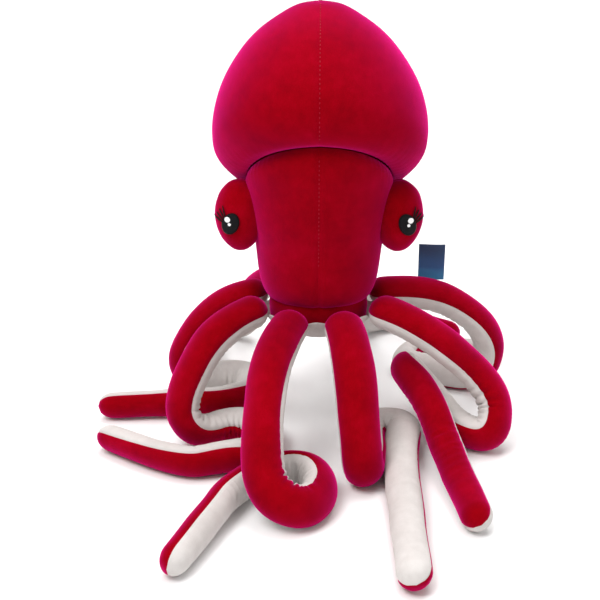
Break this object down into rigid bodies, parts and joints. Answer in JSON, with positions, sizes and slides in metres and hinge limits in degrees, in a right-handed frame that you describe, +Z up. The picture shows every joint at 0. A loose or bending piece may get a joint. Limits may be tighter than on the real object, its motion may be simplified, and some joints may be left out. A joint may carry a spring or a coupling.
{
  "type": "stuffed octopus toy",
  "caption": "Stuffed octopus toy with a round red mantle, embroidered eyes on side pods and limp two-tone arms that drape and curl.",
  "frame": {"origin": "centre of the flat underside that the toy sits on", "axes": "+Z up through the mantle, face towards -Y, +X to the right of someone looking at the face"},
  "size_m": [0.3737, 0.4687, 0.347],
  "materials": {
    "red_velour": "matte",
    "white_velour": "matte",
    "fibre_filling": "matte",
    "black_thread": "satin",
    "white_thread": "satin",
    "satin_label": "satin"
  },
  "bodies": {
    "base": {"base_fill": "fibre_filling", "base_crown": "red_velour", "base_underside": "white_velour"},
    "head": {"head_fill": "fibre_filling", "face_panels": "red_velour", "eye_pods": "red_velour", "eye_embroidery": "black_thread", "eye_highlights": "white_thread"},
    "mantle": {"mantle_fill": "fibre_filling", "mantle_left_panel": "red_velour", "mantle_right_panel": "red_velour"},
    "arm_front_left_upper": {"arm_front_left_upper_fill": "fibre_filling", "arm_front_left_upper_back": "red_velour", "arm_front_left_upper_sole": "white_velour"},
    "arm_front_left_lower": {"arm_front_left_lower_fill": "fibre_filling", "arm_front_left_lower_back": "red_velour", "arm_front_left_lower_sole": "white_velour"},
    "arm_front_right_upper": {"arm_front_right_upper_fill": "fibre_filling", "arm_front_right_upper_back": "red_velour", "arm_front_right_upper_sole": "white_velour"},
    "arm_front_right_lower": {"arm_front_right_lower_fill": "fibre_filling", "arm_front_right_lower_back": "red_velour", "arm_front_right_lower_sole": "white_velour"},
    "arm_left_front_upper": {"arm_left_front_upper_fill": "fibre_filling", "arm_left_front_upper_back": "red_velour", "arm_left_front_upper_sole": "white_velour"},
    "arm_left_front_lower": {"arm_left_front_lower_fill": "fibre_filling", "arm_left_front_lower_back": "red_velour", "arm_left_front_lower_sole": "white_velour"},
    "arm_right_front_upper": {"arm_right_front_upper_fill": "fibre_filling", "arm_right_front_upper_back": "red_velour", "arm_right_front_upper_sole": "white_velour"},
    "arm_right_front_lower": {"arm_right_front_lower_fill": "fibre_filling", "arm_right_front_lower_back": "red_velour", "arm_right_front_lower_sole": "white_velour"},
    "arm_left_back_upper": {"arm_left_back_upper_fill": "fibre_filling", "arm_left_back_upper_back": "red_velour", "arm_left_back_upper_sole": "white_velour"},
    "arm_left_back_lower": {"arm_left_back_lower_fill": "fibre_filling", "arm_left_back_lower_back": "red_velour", "arm_left_back_lower_sole": "white_velour"},
    "arm_right_back_upper": {"arm_right_back_upper_fill": "fibre_filling", "arm_right_back_upper_back": "red_velour", "arm_right_back_upper_sole": "white_velour"},
    "arm_right_back_lower": {"arm_right_back_lower_fill": "fibre_filling", "arm_right_back_lower_back": "red_velour", "arm_right_back_lower_sole": "white_velour"},
    "arm_back_left_upper": {"arm_back_left_upper_fill": "fibre_filling", "arm_back_left_upper_back": "red_velour", "arm_back_left_upper_sole": "white_velour"},
    "arm_back_left_lower": {"arm_back_left_lower_fill": "fibre_filling", "arm_back_left_lower_back": "red_velour", "arm_back_left_lower_sole": "white_velour"},
    "arm_back_right_upper": {"arm_back_right_upper_fill": "fibre_filling", "arm_back_right_upper_back": "red_velour", "arm_back_right_upper_sole": "white_velour"},
    "arm_back_right_lower": {"arm_back_right_lower_fill": "fibre_filling", "arm_back_right_lower_back": "red_velour", "arm_back_right_lower_sole": "white_velour"},
    "label": {"label": "satin_label"}
  },
  "joints": [
    {"name": "neck_nod", "type": "hinge", "parent": "base", "child": "head", "pos_m": [0, 0, 0.02], "axis": [1, 0, 0], "range_deg": [-6, 6]},
    {"name": "mantle_nod", "type": "hinge", "parent": "head", "child": "mantle", "pos_m": [0, 0, 0.12], "axis": [1, 0, 0], "range_deg": [-6, 6]},
    {"name": "front_left_shoulder", "type": "hinge", "parent": "base", "child": "arm_front_left_upper", "pos_m": [-0.01818, -0.04388, 0.018], "axis": [-0.9239, 0.3827, 0], "range_deg": [-4, 14]},
    {"name": "front_left_curl", "type": "hinge", "parent": "arm_front_left_upper", "child": "arm_front_left_lower", "pos_m": [-0.071, -0.176, -0.074], "axis": [-0.9414, 0.3372, 0], "range_deg": [0, 40]},
    {"name": "front_right_shoulder", "type": "hinge", "parent": "base", "child": "arm_front_right_upper", "pos_m": [0.01818, -0.04388, 0.018], "axis": [-0.9239, -0.3827, 0], "range_deg": [-4, 4]},
    {"name": "front_right_curl", "type": "hinge", "parent": "arm_front_right_upper", "child": "arm_front_right_lower", "pos_m": [0.068, -0.078, -0.074], "axis": [-0.9944, 0.1058, 0], "range_deg": [0, 40]},
    {"name": "left_front_shoulder", "type": "hinge", "parent": "base", "child": "arm_left_front_upper", "pos_m": [-0.04388, -0.01818, 0.018], "axis": [-0.3827, 0.9239, 0], "range_deg": [-4, 14]},
    {"name": "left_front_curl", "type": "hinge", "parent": "arm_left_front_upper", "child": "arm_left_front_lower", "pos_m": [-0.074, -0.105, -0.074], "axis": [-0.2559, 0.9667, 0], "range_deg": [0, 40]},
    {"name": "right_front_shoulder", "type": "hinge", "parent": "base", "child": "arm_right_front_upper", "pos_m": [0.04388, -0.01818, 0.018], "axis": [-0.3827, -0.9239, 0], "range_deg": [-2, 14]},
    {"name": "right_front_curl", "type": "hinge", "parent": "arm_right_front_upper", "child": "arm_right_front_lower", "pos_m": [0.091, -0.056, -0.045], "axis": [-0.9741, -0.2261, 0], "range_deg": [0, 40]},
    {"name": "left_back_shoulder", "type": "hinge", "parent": "base", "child": "arm_left_back_upper", "pos_m": [-0.04388, 0.01818, 0.018], "axis": [0.3827, 0.9239, 0], "range_deg": [-4, 14]},
    {"name": "left_back_curl", "type": "hinge", "parent": "arm_left_back_upper", "child": "arm_left_back_lower", "pos_m": [-0.118, -0.009, -0.074], "axis": [-0.0942, 0.9956, 0], "range_deg": [0, 40]},
    {"name": "right_back_shoulder", "type": "hinge", "parent": "base", "child": "arm_right_back_upper", "pos_m": [0.04388, 0.01818, 0.018], "axis": [0.3827, -0.9239, 0], "range_deg": [-4, 14]},
    {"name": "right_back_curl", "type": "hinge", "parent": "arm_right_back_upper", "child": "arm_right_back_lower", "pos_m": [0.124, 0.118, -0.074], "axis": [-0.0499, -0.9988, 0], "range_deg": [0, 40]},
    {"name": "back_left_shoulder", "type": "hinge", "parent": "base", "child": "arm_back_left_upper", "pos_m": [-0.01818, 0.04388, 0.018], "axis": [0.9239, 0.3827, 0], "range_deg": [-4, 14]},
    {"name": "back_left_curl", "type": "hinge", "parent": "arm_back_left_upper", "child": "arm_back_left_lower", "pos_m": [-0.114, 0.136, -0.074], "axis": [-0.982, -0.1888, 0], "range_deg": [0, 40]},
    {"name": "back_right_shoulder", "type": "hinge", "parent": "base", "child": "arm_back_right_upper", "pos_m": [0.01818, 0.04388, 0.018], "axis": [0.9239, -0.3827, 0], "range_deg": [-4, 14]},
    {"name": "back_right_curl", "type": "hinge", "parent": "arm_back_right_upper", "child": "arm_back_right_lower", "pos_m": [0.106, 0.192, -0.074], "axis": [-0.6292, -0.7772, 0], "range_deg": [0, 40]},
    {"name": "label_flap", "type": "hinge", "parent": "arm_right_back_upper", "child": "label", "pos_m": [0.1, 0.041, 0.024], "axis": [-1, 0, 0], "range_deg": [0, 60]}
  ]
}
